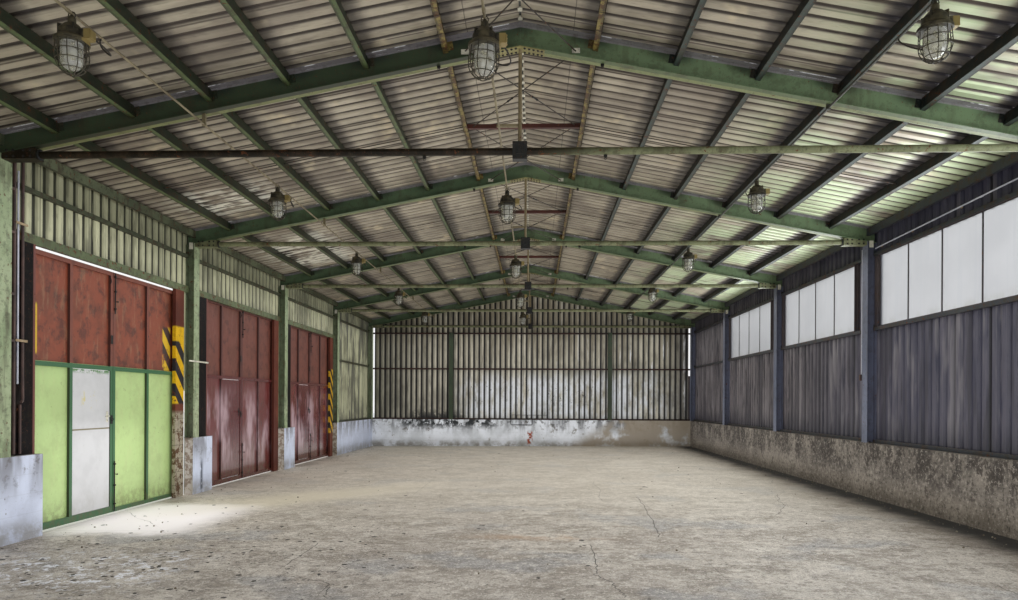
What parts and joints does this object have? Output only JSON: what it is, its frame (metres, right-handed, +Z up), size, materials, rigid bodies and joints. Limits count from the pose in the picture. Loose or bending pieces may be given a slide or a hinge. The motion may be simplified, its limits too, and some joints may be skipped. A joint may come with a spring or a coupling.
{
  "type": "factory building",
  "caption": "Steel-framed factory hall with a pitched ribbed-sheet roof, window bands on one side and pairs of swing gates with wicket doors on the other.",
  "frame": {"origin": "middle of the building's footprint, on the underside of its floor slab", "axes": "+X across the hall towards the window side, +Y along the hall towards the rear gable, +Z up"},
  "size_m": [12.736, 28.6, 6.1191],
  "materials": {
    "floor_concrete": "dusty trowelled concrete",
    "plinth_concrete": "whitewashed concrete, stained",
    "green_steel": "old green paint",
    "dark_green_steel": "dark green paint",
    "purlin_steel": "yellow-green paint",
    "brown_steel": "red-brown primer",
    "bare_rod": "dark steel rod",
    "left_sheet": "pale green-grey coated sheet",
    "right_sheet": "blue-violet grey coated sheet",
    "gable_sheet": "weathered galvanised sheet",
    "roof_sheet": "weathered galvanised sheet",
    "flashing": "galvanised flashing",
    "window_steel": "brown painted bars",
    "window_glass": "frosted pane",
    "gate_green": "light green gate paint",
    "gate_red": "red-brown gate paint",
    "wicket_white": "white door paint",
    "lamp_metal": "dark cast lamp body",
    "lamp_glass": "lamp glass"
  },
  "bodies": {
    "hall": {"floor_slab": "floor_concrete", "plinth_left": "plinth_concrete", "plinth_right": "plinth_concrete", "plinth_gables": "plinth_concrete", "columns_left": "green_steel", "columns_right": "green_steel", "gable_columns": "green_steel", "rafters": "green_steel", "ridge_splices": "purlin_steel", "ties": "dark_green_steel", "hanger_clamps": "dark_green_steel", "hangers": "purlin_steel", "purlins_left": "purlin_steel", "purlins_right": "purlin_steel", "eaves_beams": "green_steel", "ridge_struts": "brown_steel", "roof_bracing": "bare_rod", "sag_rods": "bare_rod", "side_rails": "green_steel", "gable_rails": "green_steel", "gate_lintels": "green_steel", "gate_posts": "brown_steel", "left_wall_sheets": "left_sheet", "left_wall_over_gates": "left_sheet", "right_wall_sheet": "right_sheet", "gable_sheets": "gable_sheet", "corner_flashings": "flashing", "roof_sheet_left": "roof_sheet", "roof_sheet_right": "roof_sheet", "ridge_cap": "flashing", "verge_flashings": "flashing", "window_frames": "window_steel", "window_glass": "window_glass", "lamp_housings": "lamp_metal", "lamp_glasses": "lamp_glass", "lamp_conduits": "lamp_metal"},
    "gate1_left_leaf": {"gate1_left_leaf": "gate_green"},
    "gate1_right_leaf": {"gate1_right_leaf": "gate_green"},
    "gate1_wicket": {"gate1_wicket": "wicket_white"},
    "gate2_left_leaf": {"gate2_left_leaf": "gate_red"},
    "gate2_right_leaf": {"gate2_right_leaf": "gate_red"},
    "gate2_wicket": {"gate2_wicket": "gate_red"},
    "gate3_left_leaf": {"gate3_left_leaf": "gate_red"},
    "gate3_right_leaf": {"gate3_right_leaf": "gate_red"},
    "gate3_wicket": {"gate3_wicket": "gate_red"}
  },
  "joints": [
    {"name": "gate1_left_hinge", "type": "hinge", "parent": "hall", "child": "gate1_left_leaf", "pos_m": [-6.23, -4.21, 0.6], "axis": [0, 0, 1], "range_deg": [0, 90]},
    {"name": "gate1_right_hinge", "type": "hinge", "parent": "hall", "child": "gate1_right_leaf", "pos_m": [-6.23, -0.38, 0.6], "axis": [0, 0, -1], "range_deg": [0, 90]},
    {"name": "gate1_wicket_hinge", "type": "hinge", "parent": "gate1_left_leaf", "child": "gate1_wicket", "pos_m": [-6.23, -3.224, 0.65], "axis": [0, 0, 1], "range_deg": [0, 85]},
    {"name": "gate2_left_hinge", "type": "hinge", "parent": "hall", "child": "gate2_left_leaf", "pos_m": [-6.23, 0.49, 0.6], "axis": [0, 0, 1], "range_deg": [0, 90]},
    {"name": "gate2_right_hinge", "type": "hinge", "parent": "hall", "child": "gate2_right_leaf", "pos_m": [-6.23, 4.32, 0.6], "axis": [0, 0, -1], "range_deg": [0, 90]},
    {"name": "gate2_wicket_hinge", "type": "hinge", "parent": "gate2_left_leaf", "child": "gate2_wicket", "pos_m": [-6.23, 1.476, 0.65], "axis": [0, 0, 1], "range_deg": [0, 85]},
    {"name": "gate3_left_hinge", "type": "hinge", "parent": "hall", "child": "gate3_left_leaf", "pos_m": [-6.23, 5.19, 0.6], "axis": [0, 0, 1], "range_deg": [0, 90]},
    {"name": "gate3_right_hinge", "type": "hinge", "parent": "hall", "child": "gate3_right_leaf", "pos_m": [-6.23, 9.02, 0.6], "axis": [0, 0, -1], "range_deg": [0, 90]},
    {"name": "gate3_wicket_hinge", "type": "hinge", "parent": "gate3_left_leaf", "child": "gate3_wicket", "pos_m": [-6.23, 6.176, 0.65], "axis": [0, 0, 1], "range_deg": [0, 85]}
  ]
}
